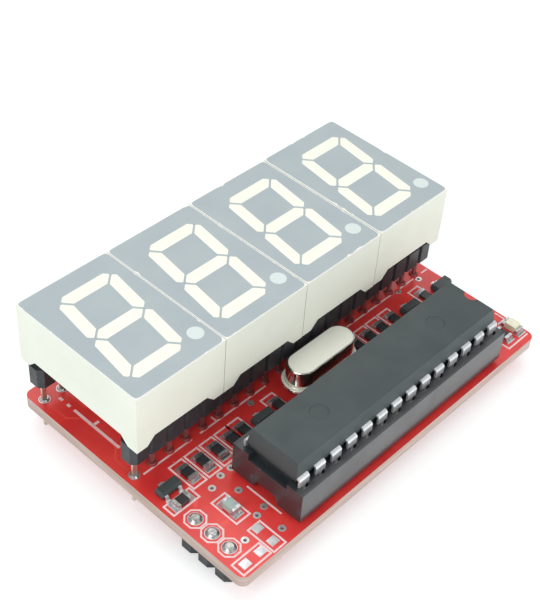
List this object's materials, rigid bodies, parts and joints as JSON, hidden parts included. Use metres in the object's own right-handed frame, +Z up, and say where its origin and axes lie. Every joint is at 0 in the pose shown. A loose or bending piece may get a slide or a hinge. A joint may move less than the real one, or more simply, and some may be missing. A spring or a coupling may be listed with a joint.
{
  "type": "seven segment display module",
  "caption": "Red circuit board with a row of plug-in seven segment digits on raised socket strips, a socketed driver chip, a crystal, small surface parts and a pin header below.",
  "frame": {"origin": "middle of the circuit board in plan, on the surface that the module stands on", "axes": "+X along the row of digits, +Y from the chip edge to the digits, +Z up out of the digits' faces"},
  "size_m": [0.0518, 0.0354, 0.0187],
  "materials": {
    "red_board": "glossy red solder mask on glass-epoxy laminate",
    "tinned_copper": "tinned copper",
    "solder": "bright solder",
    "white_shell": "satin white moulded plastic",
    "grey_film": "smooth light grey print film",
    "cast_resin": "milky cast resin",
    "tan_laminate": "bare paper-phenolic laminate",
    "die": "semiconductor die",
    "tinned_pin": "tinned",
    "black_plastic": "satin black moulded plastic",
    "tinned_contact": "tinned phosphor bronze",
    "socket_plastic": "satin near-black moulded plastic",
    "chip_epoxy": "fine matt moulding compound",
    "lead_metal": "bright tin plating",
    "can_metal": "satin nickel-plated steel",
    "crystal_header": "dull nickel plate",
    "resistor_black": "black glaze on alumina",
    "end_metal": "tinned ends",
    "capacitor_ceramic": "pale green-grey ceramic",
    "light_lens": "pale yellow clear resin"
  },
  "bodies": {
    "root": {"circuit_board": "red_board", "tinned_pads": "tinned_copper", "solder_joints": "solder", "display_housing_1": "white_shell", "display_housing_2": "white_shell", "display_housing_3": "white_shell", "display_housing_4": "white_shell", "display_face_1": "grey_film", "display_face_2": "grey_film", "display_face_3": "grey_film", "display_face_4": "grey_film", "display_resin_1": "cast_resin", "display_resin_2": "cast_resin", "display_resin_3": "cast_resin", "display_resin_4": "cast_resin", "display_die_board_1": "tan_laminate", "display_die_board_2": "tan_laminate", "display_die_board_3": "tan_laminate", "display_die_board_4": "tan_laminate", "display_dies_1": "die", "display_dies_2": "die", "display_dies_3": "die", "display_dies_4": "die", "display_pins_1": "tinned_pin", "display_pins_2": "tinned_pin", "display_pins_3": "tinned_pin", "display_pins_4": "tinned_pin", "front_strip_body": "black_plastic", "rear_strip_body": "black_plastic", "front_strip_contacts": "tinned_contact", "rear_strip_contacts": "tinned_contact", "chip_socket_body": "socket_plastic", "chip_socket_contacts": "tinned_contact", "chip_body": "chip_epoxy", "chip_leads": "lead_metal", "crystal_can": "can_metal", "crystal_base": "crystal_header", "crystal_leads": "tinned_pin", "resistor_bodies": "resistor_black", "resistor_ends": "end_metal", "capacitor_body": "capacitor_ceramic", "capacitor_ends": "end_metal", "transistor_bodies": "chip_epoxy", "transistor_leads": "lead_metal", "status_light_body": "light_lens", "status_light_ends": "end_metal", "pin_header_body": "black_plastic", "pin_header_pins": "tinned_pin"}
  },
  "joints": []
}
